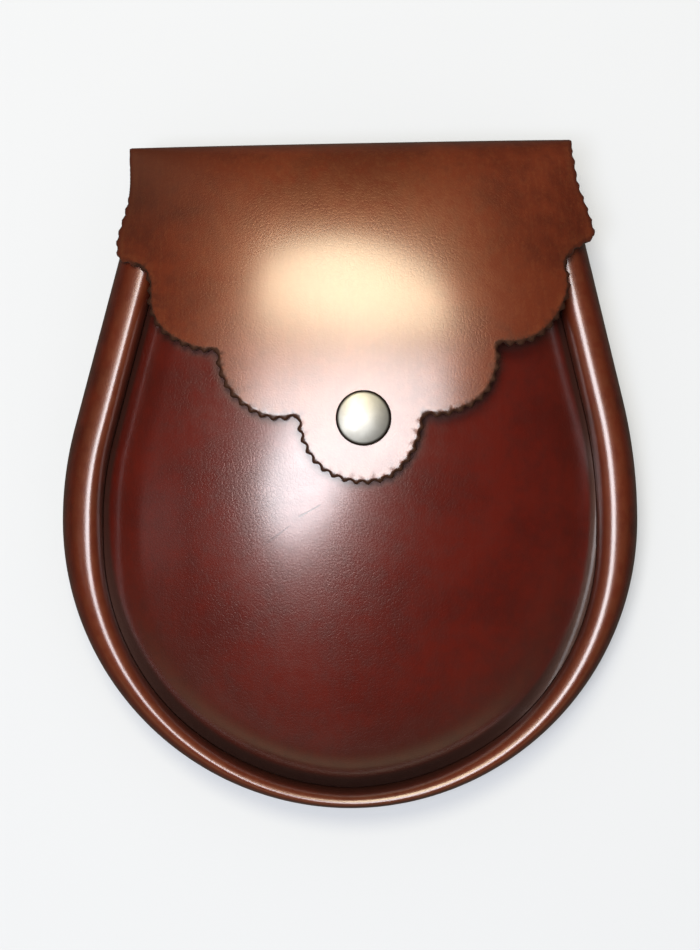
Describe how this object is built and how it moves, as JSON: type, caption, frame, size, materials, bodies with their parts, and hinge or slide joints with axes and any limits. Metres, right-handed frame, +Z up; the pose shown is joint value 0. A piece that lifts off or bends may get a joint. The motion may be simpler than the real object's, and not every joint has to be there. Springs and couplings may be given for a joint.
{
  "type": "sporran pouch",
  "caption": "Rounded leather sporran pouch with a domed front in a rolled rim, a scalloped, pinked flap closed by a press stud, and belt loops on its back.",
  "frame": {"origin": "centre of the lying pouch's box, on the floor that it lies on", "axes": "+Y from the round bottom towards the fold at the top, +Z up, out of the front, +X to the right seen from above"},
  "size_m": [0.1744, 0.2012, 0.0524],
  "materials": {
    "flap_leather": "glossy antiqued red-brown, grain side out",
    "front_leather": "glossy antiqued red-brown, darker towards the seam",
    "rim_leather": "glossy orange-brown, rolled",
    "strap_leather": "semi-matt dark brown",
    "stud_nickel": "satin nickel",
    "post_steel": "plain"
  },
  "bodies": {
    "root": {"back_and_flap": "flap_leather", "front_panel": "front_leather", "gusset": "rim_leather", "snap_cap": "stud_nickel", "snap_post": "post_steel", "belt_loop_left": "strap_leather", "belt_loop_right": "strap_leather"}
  },
  "joints": []
}
